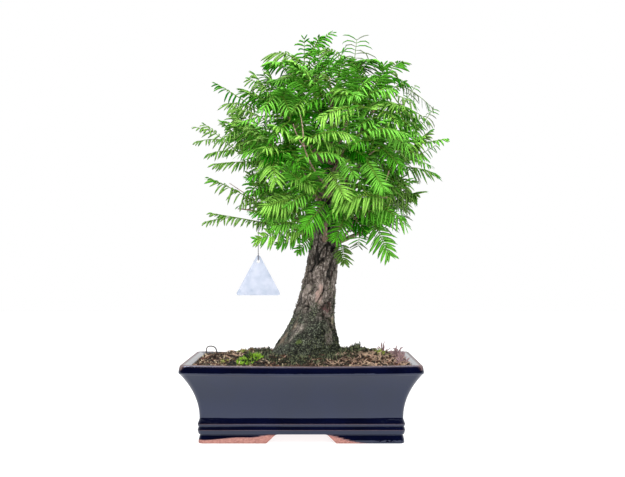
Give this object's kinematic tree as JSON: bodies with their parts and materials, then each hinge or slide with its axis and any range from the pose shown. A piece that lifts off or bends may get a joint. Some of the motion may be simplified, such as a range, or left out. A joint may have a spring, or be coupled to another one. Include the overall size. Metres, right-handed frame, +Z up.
{
  "type": "potted bonsai conifer",
  "caption": "Dawn redwood bonsai: flared leaning trunk and an open crown of feathery needle sprays, in a glazed oblong pot on feet, with a plain hanging tag.",
  "frame": {"origin": "middle of the whole plant's footprint box, at the level of the pot's feet", "axes": "+Z up the tree, -Y towards the viewer of the long side, +X to that viewer's right"},
  "size_m": [0.3566, 0.2922, 0.5442],
  "materials": {
    "glaze": "gloss",
    "soil": "matte",
    "bark": "matte",
    "foliage": "satin",
    "tag_plastic": "satin",
    "thread": "matte",
    "wire": "matte"
  },
  "bodies": {
    "root": {"anchor_wire": "wire", "apex_mass": "foliage", "low_bough_1": "bark", "low_bough_2": "bark", "low_bough_3": "bark", "low_bough_4": "bark", "low_mass_1": "foliage", "low_mass_2": "foliage", "low_mass_3": "foliage", "low_mass_4": "foliage", "middle_bough_1": "bark", "middle_bough_2": "bark", "middle_bough_3": "bark", "middle_bough_4": "bark", "middle_bough_5": "bark", "middle_bough_6": "bark", "middle_bough_7": "bark", "middle_bough_8": "bark", "middle_mass_1": "foliage", "middle_mass_2": "foliage", "middle_mass_3": "foliage", "middle_mass_4": "foliage", "middle_mass_5": "foliage", "middle_mass_6": "foliage", "middle_mass_7": "foliage", "middle_mass_8": "foliage", "pot": "glaze", "shoulder_bough_1": "bark", "shoulder_bough_2": "bark", "shoulder_bough_3": "bark", "shoulder_bough_4": "bark", "shoulder_bough_5": "bark", "shoulder_bough_6": "bark", "shoulder_mass_1": "foliage", "shoulder_mass_2": "foliage", "shoulder_mass_3": "foliage", "shoulder_mass_4": "foliage", "shoulder_mass_5": "foliage", "shoulder_mass_6": "foliage", "skirt_bough_1": "bark", "skirt_bough_2": "bark", "skirt_bough_3": "bark", "skirt_bough_4": "bark", "skirt_bough_5": "bark", "skirt_bough_6": "bark", "skirt_mass_1": "foliage", "skirt_mass_2": "foliage", "skirt_mass_3": "foliage", "skirt_mass_4": "foliage", "skirt_mass_5": "foliage", "skirt_mass_6": "foliage", "soil": "soil", "tag": "tag_plastic", "tag_thread": "thread", "top_bough_1": "bark", "top_bough_2": "bark", "top_mass_1": "foliage", "top_mass_2": "foliage", "trunk": "bark"}
  },
  "joints": []
}
